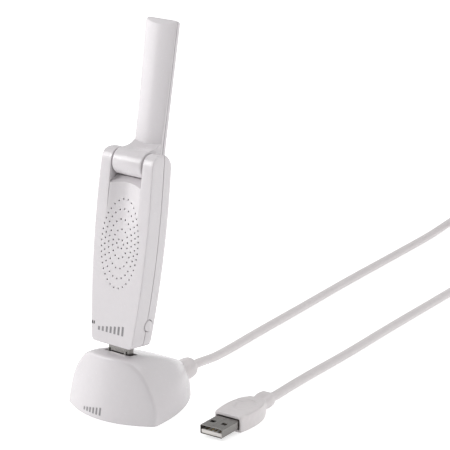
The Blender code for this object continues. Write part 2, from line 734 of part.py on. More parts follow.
def strain_relief():
    """The round collar where the lead leaves: a neck in the housing, a bulb with a rounded end."""
    length = COLLAR_END - 36 * MM
    neck = COLLAR_RADIUS - 1.2 * MM
    bore = CORD_RADIUS * 0.62
    profile = [(bore, 0.0), (CORD_RADIUS + 0.1 * MM, 0.0), (3.6 * MM, -0.3 * MM)]
    profile += [(4.6 * MM, -1.1 * MM), (COLLAR_RADIUS, -2.8 * MM), (COLLAR_RADIUS, -13.2 * MM)]
    profile += [(neck, -13.2 * MM), (neck, -length), (bore, -length), (bore, 0.0)]
    relief = turned("strain_relief", profile, "Y", (0, COLLAR_END, COLLAR_Z), None, "cord_white", 28)
    relief.rotation_euler = (-math.pi / 2, 0, 0)
    box("cable_clamp", (-5 * MM, 34.2 * MM, 3.1 * MM), (5 * MM, 35.6 * MM, 9.5 * MM), None, "nickel")


# ---------------------------------------------------------------- lead and its plug

def bundle_section():
    """The outer shape of two by two turns, from the top down its outer side and round again."""
    edge = COIL_HALF - CORD_RADIUS
    points = []
    for turn, (side, level) in enumerate(((1, 1), (1, -1), (-1, -1), (-1, 1))):
        corner = (COIL_RADIUS + side * edge, level * edge)
        points += arc(corner, CORD_RADIUS, 90 - 90 * turn, -90 * turn, 3)
    return points + points[:1]


def lead():
    tube("cord_from_cradle", smooth_route(FAR_ROUTE_MM, CORD_STEP), CORD_RADIUS, "cord_white")
    tube("cord_to_plug", smooth_route(NEAR_ROUTE_MM, CORD_STEP), CORD_RADIUS, "cord_white")
    turned("cord_coil", bundle_section(), "Z", (*COIL_CENTRE, COIL_HALF + COIL_LIFT), None,
           "cord_white", 36)
    tie_low = (-2 * MM + COIL_CENTRE[0], COIL_CENTRE[1] + COIL_RADIUS - COIL_HALF - COIL_LIFT, 0)
    tie_high = (2 * MM + COIL_CENTRE[0], COIL_CENTRE[1] + COIL_RADIUS + COIL_HALF + COIL_LIFT,
                2 * (COIL_HALF + COIL_LIFT))
    tie = box("cord_tie", tie_low, tie_high, None, "chip")
    slack = COIL_LIFT - 0.4 * MM
    tie_hole = box("cord_tie_hole", (tie_low[0] - MM, tie_low[1] + slack, slack),
                   (tie_high[0] + MM, tie_high[1] - slack, tie_high[2] - slack))
    combine(tie, tie_hole, "DIFFERENCE")


def grip_outline():
    """Half widths of the plug's grip along its length, mirrored."""
    right = [(7.3, 13.1), (7.8, 15.5), (8.2, 19.5), (8.2, 26.5), (7.6, 31.0), (6.3, 34.6)]
    right += [(4.6, 37.0), (3.7, 38.6)]
    return [(x * MM, y * MM) for x, y in right + [(-x, y) for x, y in reversed(right)]]


def far_plug(plug):
    grip = outline("plug_grip", grip_outline(), GRIP_HEIGHT, "plan",
                   (0, 0, GRIP_HEIGHT / 2), plug, "cord_white")
    round_edges(grip, 0.6 * MM, 2, 60)
    collar = [(2.6 * MM, 0.0), (3.7 * MM, -0.5 * MM), (4.6 * MM, -2.2 * MM), (4.7 * MM, -5.2 * MM)]
    collar += [(4.2 * MM, -7.6 * MM), (3.5 * MM, -9.0 * MM), (3.5 * MM, -12.0 * MM)]
    collar = [(0.0, 0.0)] + collar + [(0.0, -12.0 * MM)]
    relief = turned("plug_collar", collar, "Y", (0, 47.8 * MM, GRIP_HEIGHT / 2), plug, None, 28)
    relief.rotation_euler = (-math.pi / 2, 0, 0)
    relief.scale = (1.0, 0.83, 1.0)
    combine(grip, relief, "UNION")
    shell_way = box("plug_shell_way", (-6.3 * MM, 10 * MM, FAR_SHELL_LOW - GAP),
                    (6.3 * MM, 18.5 * MM, FAR_SHELL_LOW + PLUG_HEIGHT + GAP), plug)
    combine(grip, shell_way, "DIFFERENCE")
    core = frame("far_plug_core", (0, 0, FAR_SHELL_LOW + PLUG_HEIGHT / 2),
                 (math.pi / 2, 0, math.pi), plug)
    plug_core("plug_", core, 0.0, FAR_SHELL_REACH + 5.0 * MM)


# ---------------------------------------------------------------- assembly

def build():
    seat = frame("seat_frame", SEAT, (-LEAN, 0, 0))
    stick = frame("adapter_frame", SEAT, (-LEAN, 0, 0))
    pivot = frame("hinge_frame", (0, HINGE_Y, HINGE_Z), (-ANTENNA_LEAN, 0, 0), stick)
    plug = frame("far_plug_frame", FAR_PLUG_AT, (0, 0, FAR_PLUG_TURN))
    cover("front_cover", stick, True)
    cover("rear_cover", stick, False)
    led_lenses(stick)
    side_button(stick)
    electronics(stick)
    plug_core("usb_", stick, BODY_BOTTOM - PLUG_REACH, BODY_BOTTOM + 6.5 * MM)
    antenna(pivot)
    cradle(seat)
    socket(seat)
    strain_relief()
    lead()
    far_plug(plug)


build()
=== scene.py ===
"""Looks for the USB Wi-Fi adapter in its desk cradle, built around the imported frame.

Shapes are made in millimetres in the frame of the piece that they belong to, then placed in the world.
"""

import json
import math

import bmesh
import bpy
from mathutils import Matrix, Vector


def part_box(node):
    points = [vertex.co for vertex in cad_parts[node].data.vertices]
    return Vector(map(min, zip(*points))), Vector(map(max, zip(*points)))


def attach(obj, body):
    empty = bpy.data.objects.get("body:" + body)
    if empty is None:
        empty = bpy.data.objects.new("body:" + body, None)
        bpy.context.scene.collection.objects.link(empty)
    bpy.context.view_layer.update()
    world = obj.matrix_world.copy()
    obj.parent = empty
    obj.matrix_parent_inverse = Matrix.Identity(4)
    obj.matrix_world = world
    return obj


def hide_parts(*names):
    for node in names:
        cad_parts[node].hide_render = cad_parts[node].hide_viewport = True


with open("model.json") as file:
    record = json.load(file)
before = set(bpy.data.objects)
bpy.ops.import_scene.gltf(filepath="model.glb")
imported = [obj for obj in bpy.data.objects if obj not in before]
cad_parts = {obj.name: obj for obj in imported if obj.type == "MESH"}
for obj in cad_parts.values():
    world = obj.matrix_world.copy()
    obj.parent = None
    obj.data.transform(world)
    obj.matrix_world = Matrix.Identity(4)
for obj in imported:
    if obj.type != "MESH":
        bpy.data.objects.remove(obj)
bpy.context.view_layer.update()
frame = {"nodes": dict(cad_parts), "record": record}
MM = 0.001

# ---------------------------------------------------------------- places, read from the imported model

# The hinge's place in the adapter's own frame, whose z axis runs up the body from a little under its foot.
HINGE_Y = -1.5
HINGE_Z = 86.0
ANTENNA_LEAN = math.radians(1.2)
# The lead's plug in its own frame: the grip's front, its height, and how high its mount lies on its face.
GRIP_FRONT = 13.1
GRIP_HEIGHT = 7.9
GRIP_FACE_Z = 6.95

JOINTS = {joint["name"]: joint for joint in frame["record"]["behaviour"]["joints"]}
MOUNTS = {mount["name"]: mount for mount in frame["record"]["mounts"]}
ALONG = Vector(JOINTS["adapter_slide"]["axis"]).normalized()
LEAN = math.atan2(ALONG.y, ALONG.z)
HINGE = Vector(JOINTS["antenna_hinge"]["pos_m"])
TO_METRES = Matrix.Scale(MM, 4)
BODY_TURN = Matrix.Rotation(-LEAN, 4, "X")
SEAT = Matrix.Translation(HINGE) @ BODY_TURN @ Matrix.Translation(
    Vector((0, -HINGE_Y, -HINGE_Z)) * MM
) @ TO_METRES
PIVOT = (
    Matrix.Translation(HINGE) @ BODY_TURN @ Matrix.Rotation(-ANTENNA_LEAN, 4, "X") @ TO_METRES
)
WORLD = TO_METRES
PLUG_FACE = MOUNTS["host_plug_seat"]
PLUG_TURN = math.atan2(PLUG_FACE["axis"][0], -PLUG_FACE["axis"][1])
PLUG = (
    Matrix.Translation(Vector(PLUG_FACE["pos_m"]))
    @ Matrix.Rotation(PLUG_TURN, 4, "Z")
    @ TO_METRES
    @ Matrix.Translation((0, -GRIP_FRONT, -GRIP_FACE_Z))
)


# ---------------------------------------------------------------- materials

# Most of a noise texture's values lie between these two.
NOISE_LOW = 0.3
NOISE_HIGH = 0.7


def new_material(name, colour, roughness, metallic=0.0):
    made = bpy.data.materials.new(name)
    made.use_nodes = True
    shader = made.node_tree.nodes["Principled BSDF"]
    shader.inputs["Base Color"].default_value = (*colour, 1.0)
    shader.inputs["Roughness"].default_value = roughness
    shader.inputs["Metallic"].default_value = metallic
    return made, made.node_tree, shader


def noise(tree, scale, detail=3.0, stretch=(1, 1, 1)):
    """A noise texture's value, with the given number of cells to the metre."""
    coords = tree.nodes.new("ShaderNodeTexCoord")
    mapping = tree.nodes.new("ShaderNodeMapping")
    mapping.inputs["Scale"].default_value = stretch
    texture = tree.nodes.new("ShaderNodeTexNoise")
    texture.inputs["Scale"].default_value = scale
    texture.inputs["Detail"].default_value = detail
    tree.links.new(coords.outputs["Object"], mapping.inputs["Vector"])
    tree.links.new(mapping.outputs["Vector"], texture.inputs["Vector"])
    return texture.outputs["Fac"]


def spread(tree, value, low, high):
    """A texture's middle range mapped to the range low to high."""
    ranged = tree.nodes.new("ShaderNodeMapRange")
    ranged.inputs["From Min"].default_value = NOISE_LOW
    ranged.inputs["From Max"].default_value = NOISE_HIGH
    ranged.inputs["To Min"].default_value = low
    ranged.inputs["To Max"].default_value = high
    tree.links.new(value, ranged.inputs["Value"])
    return ranged.outputs["Result"]


def tinted(tree, shader, value, dark, light):
    """Gives the shader a colour that wanders between two shades with the texture's value."""
    ramp = tree.nodes.new("ShaderNodeValToRGB")
    ramp.color_ramp.elements[0].position = NOISE_LOW
    ramp.color_ramp.elements[0].color = (*dark, 1.0)
    ramp.color_ramp.elements[1].position = NOISE_HIGH
    ramp.color_ramp.elements[1].color = (*light, 1.0)
    tree.links.new(value, ramp.inputs["Fac"])
    tree.links.new(ramp.outputs["Color"], shader.inputs["Base Color"])


def surface_relief(tree, shader, value, distance, edge=0.0):
    """A fine bump, over edges softened by the given radius in millimetres."""
    bump = tree.nodes.new("ShaderNodeBump")
    bump.inputs["Strength"].default_value = 1.0
    bump.inputs["Distance"].default_value = distance * MM
    tree.links.new(value, bump.inputs["Height"])
    if edge:
        soft = tree.nodes.new("ShaderNodeBevel")
        soft.samples = 6
        soft.inputs["Radius"].default_value = edge * MM
        tree.links.new(soft.outputs["Normal"], bump.inputs["Normal"])
    tree.links.new(bump.outputs["Normal"], shader.inputs["Normal"])


def plastic(name, colour, roughness, coat=0.0, grain=0.004, edge=0.35, shift=0.008):
    """Moulded plastic: faint clouding, uneven gloss and a spark-eroded grain."""
    made, tree, shader = new_material(name, colour, roughness)
    darker = tuple(c * (1 - shift) for c in colour)
    lighter = tuple(min(1.0, c * (1 + shift)) for c in colour)
    tinted(tree, shader, noise(tree, 420.0), darker, lighter)
    gloss = spread(tree, noise(tree, 1300.0, 4.0), roughness * 0.94, roughness * 1.06)
    tree.links.new(gloss, shader.inputs["Roughness"])
    shader.inputs["Coat Weight"].default_value = coat
    shader.inputs["Coat Roughness"].default_value = 0.12
    surface_relief(tree, shader, noise(tree, 2600.0, 2.0), grain, edge)
    return made


def metal(name, colour, roughness, brushed=(1, 1, 1), edge=0.15):
    """Plated or drawn metal with fine lines along one direction and a little tarnish."""
    made, tree, shader = new_material(name, colour, roughness, 1.0)
    darker = tuple(c * 0.88 for c in colour)
    tinted(tree, shader, noise(tree, 220.0, 4.0), darker, colour)
    gloss = spread(tree, noise(tree, 3000.0, 2.0, brushed), roughness * 0.8, roughness * 1.25)
    tree.links.new(gloss, shader.inputs["Roughness"])
    surface_relief(tree, shader, noise(tree, 4000.0, 2.0, brushed), 0.0012, edge)
    return made


def board_material():
    """Green solder mask with lighter tracks showing through."""
    made, tree, shader = new_material("board_look", (0.03, 0.2, 0.08), 0.35)
    along_tracks = (1, 0.2, 0.2)
    tinted(tree, shader, noise(tree, 500.0, 1.0, along_tracks), (0.02, 0.13, 0.05), (0.05, 0.26, 0.11))
    surface_relief(tree, shader, noise(tree, 500.0, 1.0, along_tracks), 0.02)
    return made


WHITE = (0.735, 0.705, 0.722)
LOOKS = {
    "shell": plastic("shell_look", WHITE, 0.26, coat=0.4),
    "cord": plastic("cord_look", (0.735, 0.695, 0.70), 0.3, coat=0.45, grain=0.006, shift=0.02),
    "button": plastic("button_look", (0.76, 0.73, 0.745), 0.25, coat=0.3, edge=0.15),
    "insulator": plastic("insulator_look", (0.76, 0.73, 0.70), 0.4, edge=0.1),
    "black": plastic("black_look", (0.02, 0.02, 0.022), 0.5, grain=0.01, edge=0.1),
    "rubber": plastic("rubber_look", (0.035, 0.035, 0.035), 0.85, grain=0.03, edge=0.3, shift=0.15),
    "lens": plastic("lens_look", (0.05, 0.048, 0.05), 0.12, coat=0.8, grain=0.0005, edge=0.1),
    "print": plastic("print_look", (0.27, 0.26, 0.27), 0.45, edge=0.0, shift=0.06),
    "nickel": metal("nickel_look", (0.29, 0.28, 0.27), 0.2, (1, 1, 0.15)),
    "steel": metal("steel_look", (0.5, 0.49, 0.48), 0.38, (0.2, 1, 1)),
    "gold": metal("gold_look", (0.62, 0.47, 0.24), 0.32),
    "board": board_material(),
}


# ---------------------------------------------------------------- mesh helpers

SHARP_ANGLE = math.radians(32.0)


def ease(value, low, high):
    """0 below low, 1 above high, and smooth between."""
    t = min(1.0, max(0.0, (value - low) / (high - low)))
    return t * t * (3 - 2 * t)


def corner_trim(rise, radius):
    """How far a rounded corner pulls the side in, at a given way inside the end."""
    inside = max(0.0, radius - rise)
    return radius - math.sqrt(max(0.0, radius ** 2 - inside ** 2))


def mesh_item(name, bm):
    """A new object that takes over the given bmesh."""
    bmesh.ops.recalc_face_normals(bm, faces=bm.faces)
    mesh = bpy.data.meshes.new(name)
    bm.to_mesh(mesh)
    bm.free()
    item = bpy.data.objects.new(name, mesh)
    bpy.context.scene.collection.objects.link(item)
    return item


def loft(name, rings):
    """A closed solid through rings of equally many points, capped at both ends."""
    bm = bmesh.new()
    loops = [[bm.verts.new(point) for point in ring] for ring in rings]
    count = len(loops[0])
    for near, far in zip(loops, loops[1:]):
        for i in range(count):
            j = (i + 1) % count
            bm.faces.new((near[i], near[j], far[j], far[i]))
    bm.faces.new(loops[0])
    bm.faces.new(list(reversed(loops[-1])))
    return mesh_item(name, bm)


def block(name, low, high, rounding=0.0, segments=3):
    """A box between two corners, with its edges rounded if asked."""
    bm = bmesh.new()
    bmesh.ops.create_cube(bm, size=1.0)
    bmesh.ops.scale(bm, vec=[high[i] - low[i] for i in range(3)], verts=bm.verts)
    bmesh.ops.translate(bm, vec=[(high[i] + low[i]) / 2 for i in range(3)], verts=bm.verts)
    if rounding:
        bmesh.ops.bevel(
            bm, geom=bm.edges, offset=rounding, segments=segments, profile=0.5, affect="EDGES"
        )
    return mesh_item(name, bm)


def turned(name, profile, axis, middle, steps=48):
    """A solid of revolution from (radius, height) pairs; its height runs along the axis."""
    turns = {
        "X": Matrix.Rotation(math.pi / 2, 4, "Y"),
        "Y": Matrix.Rotation(-math.pi / 2, 4, "X"),
    }
    rings = []
    for radius, height in profile:
        ring = []
        for i in range(steps):
            angle = 2 * math.pi * i / steps
            point = Vector((radius * math.cos(angle), radius * math.sin(angle), height))
            ring.append(turns[axis] @ point + Vector(middle))
        rings.append(ring)
    return loft(name, rings)


def prism(name, points, low, high):
    """An outline of (y, z) points run along x."""
    return loft(name, [[(x, y, z) for y, z in points] for x in (low, high)])


def combine(item, *others, operation="DIFFERENCE"):
    """Cuts the others away, or joins them, and removes them."""
    for other in others:
        change = item.modifiers.new("change", "BOOLEAN")
        change.object = other
        change.operation = operation
        change.solver = "EXACT"
    apply_modifiers(item)
    for other in others:
        bpy.data.objects.remove(other, do_unlink=True)
    return item


def close_slivers(item):
    """Welds the hair-thin slivers that many cuts can leave open along an edge."""
    weld = 0.004
    shortest = 0.001
    most_sides = 6
    shape = bmesh.new()
    shape.from_mesh(item.data)
    bmesh.ops.remove_doubles(shape, verts=shape.verts, dist=weld)
    bmesh.ops.dissolve_degenerate(shape, edges=shape.edges, dist=shortest)
    open_edges = [edge for edge in shape.edges if edge.is_boundary]
    bmesh.ops.holes_fill(shape, edges=open_edges, sides=most_sides)
    shape.to_mesh(item.data)
    shape.free()


def apply_modifiers(item):
    """Makes the modified shape the item's own mesh."""
    bpy.context.view_layer.update()
    evaluated = item.evaluated_get(bpy.context.evaluated_depsgraph_get())
    mesh = bpy.data.meshes.new_from_object(evaluated)
    item.modifiers.clear()
    item.data = mesh


def hold(item, place, body, look, slot, *nodes):
    """Puts a piece in its place, on its body, in the place of its CAD nodes."""
    item.data.transform(place)
    item.data.materials.clear()
    item.data.materials.append(LOOKS[look])
    item.data.shade_smooth()
    item.data.set_sharp_from_angle(angle=SHARP_ANGLE)
    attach(item, body)
    if nodes:
        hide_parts(*nodes)
    return item


def smooth_route(points, per_span):
    """Points along a Catmull-Rom curve through the given ones."""
    knots = [Vector(p) for p in points]
    knots = [2 * knots[0] - knots[1], *knots, 2 * knots[-1] - knots[-2]]
    fine = []
    for a, b, c, d in zip(knots, knots[1:], knots[2:], knots[3:]):
        for i in range(per_span):
            t = i / per_span
            fine.append(
                0.5 * (2 * b + (c - a) * t + (2 * a - 5 * b + 4 * c - d) * t * t
                       + (3 * b - a - 3 * c + d) * t ** 3)
            )
    fine.append(knots[-2])
    return fine


def section(half, depth, front_round, rear_round, front_steps=30, side_steps=6, corner_steps=5):
    """(x, d) pairs round a rounded rectangle; d runs from the front (0) to the rear (depth)."""
    widest = min(half * 0.9, depth * 0.45)
    front_round = min(front_round, widest)
    rear_round = min(rear_round, widest)
    right = []
    for i in range(front_steps // 2 + 1):
        right.append(((half - front_round) * 2 * i / front_steps, 0.0))
    for i in range(1, corner_steps + 1):
        angle = math.pi / 2 * i / corner_steps
        x = half - front_round * (1 - math.sin(angle))
        right.append((x, front_round * (1 - math.cos(angle))))
    for i in range(1, side_steps):
        right.append((half, front_round + (depth - front_round - rear_round) * i / side_steps))
    for i in range(corner_steps + 1):
        angle = math.pi / 2 * i / corner_steps
        x = half - rear_round * (1 - math.cos(angle))
        right.append((x, depth - rear_round * (1 - math.sin(angle))))
    for i in range(1, front_steps // 2 + 1):
        right.append(((half - rear_round) * (1 - 2 * i / front_steps), depth))
    left = [(-x, d) for x, d in reversed(right[1:-1])]
    return right + left


def ladder_ring(front, rear, half, front_round, rear_round, shift=None):
    """A ring between a front and a rear point of the side profile; shift moves its front edge back."""
    depth = math.hypot(rear[0] - front[0], rear[1] - front[1])
    ring = []
    for x, d in section(half, depth, front_round, rear_round):
        share = d / depth
        start = front[0] + (shift(x, front[1], half) if shift else 0.0)
        y = start + (rear[0] - start) * share
        z = front[1] + (rear[1] - front[1]) * share
        ring.append((x, y, z))
    return ring


# ---------------------------------------------------------------- adapter body

FRONT_Y = -7.4
REAR_Y = 7.4
BODY_BOTTOM = 1.7
BODY_TOP = 91.7
SHOULDER = 84.4
CROWN_Y = 0.7
SEAM_Y = 0.7
SEAM_GAP = 0.3
FRONT_EDGE = 0.5
REAR_EDGE = 2.4
HOLLOW_FRONT = -4.4
WALL = 1.6
WAIST_Z = 62.0
WAIST_HALF = 15.8
FOOT_CORNER = 2.2
RECESS_HALF = 9.3
RECESS_FLOOR = 77.3
RECESS_BACK = 5.6
REAR_CUT_Z = 83.6
PIN_BORE = 2.6
BARREL_RADIUS = 6.3
BARREL_HALF = 8.4
BARREL_GAP = 0.35
BUTTON_Y = 1.8
BUTTON_Z = 12.5
BUTTON_RADIUS = 2.6
LENS_X = (-12.3, -11.15)
LENS_Z = (9.45, 10.85)
VENT_CENTRE_Z = 49.0
VENT_RADIUS = 0.39
# Each ring of vents: its half width, its half height and its number of holes.
VENT_RINGS = ((10.7, 20.55, 38), (8.8, 16.0, 30), (6.65, 11.4, 22), (4.3, 6.7, 14), (2.0, 2.2, 6))


def body_half(z):
    """The body's half width: it narrows from the waist to the foot, and a little to the top."""
    if z < WAIST_Z:
        width = WAIST_HALF - 3.7 * ((WAIST_Z - z) / 60) ** 2
    else:
        width = WAIST_HALF - 0.7 * ((z - WAIST_Z) / 26) ** 2
    return width - corner_trim(z - BODY_BOTTOM, FOOT_CORNER)


def dish(x, z, half):
    """How far the front face falls back: a scoop under the barrel that fades out downwards."""
    across = min(1.0, abs(x) / RECESS_HALF)
    if across >= 1.0:
        return 0.0
    scoop = 1.9 * ease(z, 44, 79) * (1 - across ** 2)
    wide = 0.25 * ease(z, 22, 50) * (1 - across ** 2)
    return scoop + wide


def front_skin(x, z):
    """The y of the body's front."""
    return FRONT_Y + dish(x, z, body_half(z))


def foot_rings():
    """The underside, which is rounded at the front and chamfered at the rear."""
    rings = []
    rounding = 0.6
    steps = 4
    for i in range(steps + 1):
        angle = math.pi / 2 * i / steps
        trim = rounding * (1 - math.sin(angle))
        front = (FRONT_Y + trim, BODY_BOTTOM + rounding * (1 - math.cos(angle)))
        rear = (4.8 + 2.1 * i / steps, BODY_BOTTOM + 1.2 * i / steps)
        rings.append(ladder_ring(front, rear, body_half(front[1]) - trim, FRONT_EDGE, 1.0))
    return rings


def side_rings():
    """The body from its foot to its shoulder."""
    rings = []
    levels = [3.0, 3.8, 4.8, 6.0, 8.0] + [8.0 + (SHOULDER - 8.0) * i / 60 for i in range(1, 61)]
    for z in levels:
        rear_z = max(z, 3.7 + (z - 3.0) * 0.8)
        rear_y = REAR_Y - 0.3 * (1 - ease(z, 2.6, 4.4))
        rings.append(ladder_ring((FRONT_Y, z), (rear_y, rear_z), body_half(z), FRONT_EDGE, REAR_EDGE, dish))
    return rings


def crown_rings():
    """The rounded top, squarer at the front than at the rear."""
    rings = []
    steps = 14
    rise = BODY_TOP - SHOULDER
    for i in range(1, steps):
        angle = math.pi / 2 * i / steps
        front = (
            CROWN_Y + (FRONT_Y - CROWN_Y) * math.cos(angle) ** (2 / 3.2),
            SHOULDER + rise * math.sin(angle) ** (2 / 2.6),
        )
        rear = (
            CROWN_Y + (REAR_Y - CROWN_Y) * math.cos(angle) ** (2 / 1.7),
            SHOULDER + rise * math.sin(angle),
        )
        half = body_half(SHOULDER) - 0.9 * (1 - math.cos(angle)) ** 1.4
        rings.append(ladder_ring(front, rear, half, FRONT_EDGE, REAR_EDGE - 1.2 * i / steps))
    return rings


def body_hollow():
    """The room inside for the board."""
    bottom = BODY_BOTTOM + WALL
    top = 75.0
    steps = 10
    rings = []
    for i in range(steps + 1):
        z = bottom + (top - BODY_BOTTOM - WALL) * i / steps
        half = body_half(max(z, 6.0)) - WALL
        rings.append(ladder_ring((HOLLOW_FRONT, z), (REAR_Y - WALL - 0.3, z), half, 0.6, 1.6))
    return loft("body_hollow", rings)


def even_ellipse(across, up, count, offset):
    """Points round an ellipse, evenly spaced along it from its top."""
    steps = 720
    fine = []
    for i in range(steps + 1):
        angle = 2 * math.pi * i / steps
        fine.append((across * math.sin(angle), up * math.cos(angle)))
    walked = [0.0]
    for (x0, z0), (x1, z1) in zip(fine, fine[1:]):
        walked.append(walked[-1] + math.hypot(x1 - x0, z1 - z0))
    points = []
    for i in range(count):
        wanted = walked[-1] * (i + offset) / count
        nearest = min(range(steps), key=lambda k: abs(walked[k] - wanted))
        points.append(fine[nearest])
    return points


def vent_cutter():
    """Rings of small round holes, alternate rings turned by half a step."""
    middle_y = -6.5
    facing = Matrix.Rotation(math.pi / 2, 4, "X")
    bm = bmesh.new()
    for index, (across, up, count) in enumerate(VENT_RINGS):
        for x, z in even_ellipse(across, up, count, 0.5 * ((index + 1) % 2)):
            bmesh.ops.create_cone(
                bm, cap_ends=True, segments=14, radius1=VENT_RADIUS, radius2=VENT_RADIUS, depth=6.0,
                matrix=Matrix.Translation((x, middle_y, VENT_CENTRE_Z + z)) @ facing,
            )
    return mesh_item("vents", bm)


def recess_cutter():
    """The gap between the ears: its floor slopes up from the front, then runs round the barrel."""
    front_z = RECESS_FLOOR - 1.7
    gap = BARREL_RADIUS + BARREL_GAP
    past_front = -30.0
    past_top = 120.0
    floor = [(past_front, front_z), (FRONT_Y, front_z)]
    for degrees in range(264, 361, 4):
        angle = math.radians(degrees)
        floor.append((HINGE_Y + gap * math.cos(angle), HINGE_Z + gap * math.sin(angle)))
    floor += [(RECESS_BACK, HINGE_Z), (RECESS_BACK, past_top), (past_front, past_top)]
    return prism("recess", floor, -RECESS_HALF - 0.01, RECESS_HALF + 0.01)


def dish_step():
    """The shallow step down the sides of the dish, deepest under the recess."""
    deepest = FRONT_Y + 0.42
    outline = [(-9.0, 60.0), (FRONT_Y - 0.02, 60.0), (deepest, 76.0), (deepest, 78.0), (-9.0, 78.0)]
    return prism("dish_step", outline, -RECESS_HALF, RECESS_HALF)


def key_bore():
    side = body_half(BUTTON_Z)
    radius = BUTTON_RADIUS + 0.35
    return turned("key_bore", [(radius, side - 4), (radius, side + 4)], "X", (0, BUTTON_Y, BUTTON_Z), 40)


def cover(name, front_side, node):
    """Half of the body: the whole form less its openings and the other half."""
    shell = loft(name, foot_rings() + side_rings() + crown_rings())
    cutters = [body_hollow(), recess_cutter(), dish_step()]
    cutters.append(block("notch", (-RECESS_HALF, 3.0, REAR_CUT_Z), (RECESS_HALF, 40, 119)))
    cutters.append(block("plug_way", (-6.3, -2.55, 0), (6.3, 2.55, 6)))
    cutters.append(turned("pin_bore", [(PIN_BORE, -13.0), (PIN_BORE, 13.0)], "X", (0, HINGE_Y, HINGE_Z), 24))
    cutters.append(key_bore())
    if front_side:
        cutters.append(vent_cutter())
        for x in LENS_X:
            cutters.append(block("lens_way", (x - 0.4, -20, 9.4), (x + 0.4, -2, 10.9)))
        cutters.append(block("rear_half", (-40, SEAM_Y - SEAM_GAP / 2, -40), (40, 60, 160)))
    else:
        cutters.append(block("front_half", (-40, -60, -40), (40, SEAM_Y + SEAM_GAP / 2, 160)))
    combine(shell, *cutters)
    close_slivers(shell)
    return hold(shell, SEAT, "adapter", "shell", "shell_white", node)


def lenses():
    """Two small indicator lenses, flush with the front."""
    half = 0.36
    low, high = LENS_Z
    for i, x in enumerate(LENS_X):
        front_corner = (x - half, FRONT_Y - 0.03, low)
        lens = block(f"lens_{i + 1}", front_corner, (x + half, FRONT_Y + 2.2, high), 0.1)
        hold(lens, SEAT, "adapter", "lens", "lens", f"led_lens_{i + 1}")


def key():
    """The round key: domed, with a softened rim and a flange behind the wall."""
    wall = body_half(BUTTON_Z)
    top = wall + 0.7
    radius = BUTTON_RADIUS
    flange_radius = 3.3
    axis_gap = 0.02
    steps = 8
    dome = []
    for i in range(steps + 1):
        share = i / steps
        dome.append((max(axis_gap, radius * 0.93 * share), top - 0.35 * share ** 2))
    rim = [(radius * 0.97, top - 0.47), (radius, top - 0.65), (radius, wall - 2.35)]
    flange = [(flange_radius, wall - 2.35), (flange_radius, wall - 3.05), (axis_gap, wall - 3.05)]
    item = turned("side_key", dome + rim + flange, "X", (0, BUTTON_Y, BUTTON_Z), 56)
    hold(item, SEAT, "button", "button", "shell_white", "side_button")


def printed_bar(bm, left, bottom, width, height, skin):
    """One bar of print: a thin closed sheet that follows skin(x, z)."""
    columns = 4
    rows = 3
    lift = 0.005
    thickness = 0.02
    grid = []
    for layer in (0.0, thickness):
        for k in range(columns + 1):
            for up in range(rows):
                x = left + width * k / columns
                z = bottom + height * up / (rows - 1)
                grid.append(bm.verts.new((x, skin(x, z) - lift - layer, z)))
    per_layer = (columns + 1) * rows

    def vert(layer, k, up):
        return grid[layer * per_layer + k * rows + up]

    for k in range(columns):
        for up in range(rows - 1):
            quad = [(k, up), (k + 1, up), (k + 1, up + 1), (k, up + 1)]
            bm.faces.new([vert(1, *q) for q in quad])
            bm.faces.new([vert(0, *q) for q in reversed(quad)])
    rim = [(k, 0) for k in range(columns + 1)] + [(columns, 1)]
    rim += [(k, rows - 1) for k in range(columns, -1, -1)] + [(0, 1)]
    for a, b in zip(rim, rim[1:] + rim[:1]):
        bm.faces.new((vert(0, *a), vert(0, *b), vert(1, *b), vert(1, *a)))


def bars_mark(name, count, left, bottom, width, height, skin, place, body):
    """A row of rising bars, each as wide as the gap after it."""
    bm = bmesh.new()
    pitch = width / count
    for i in range(count):
        tall = height * (0.3 + 0.7 * (i + 1) / count)
        printed_bar(bm, left + i * pitch, bottom, pitch * 0.5, tall, skin)
    hold(mesh_item(name, bm), place, body, "print", "lens")


# ---------------------------------------------------------------- connectors

USB_HALF_WIDTH = 6.0
USB_HALF_HEIGHT = 2.25
USB_SKIN = 0.3
CONTACT_X = (-3.5, -1.0, 1.0, 3.5)
LATCH_X = (-3.1, 3.1)


def sleeve_outline(half_w, half_h, corner, corner_steps):
    """(x, y) points round a rounded rectangle about the middle."""
    return [(x, d - half_h) for x, d in section(half_w, 2 * half_h, corner, corner, 8, 3, corner_steps)]


def rounded_tube(name, half_w, half_h, low, high, skin, corner=0.7):
    """A thin rounded rectangular sleeve along z."""
    outer = sleeve_outline(half_w, half_h, corner, 5)
    inner = sleeve_outline(half_w - skin, half_h - skin, corner - skin, 5)
    bm = bmesh.new()
    loops = []
    for outline, z in ((outer, low), (outer, high), (inner, high), (inner, low)):
        loops.append([bm.verts.new((x, y, z)) for x, y in outline])
    loops.append(loops[0])
    count = len(outer)
    for near, far in zip(loops, loops[1:]):
        for i in range(count):
            j = (i + 1) % count
            bm.faces.new((near[i], near[j], far[j], far[i]))
    return mesh_item(name, bm)


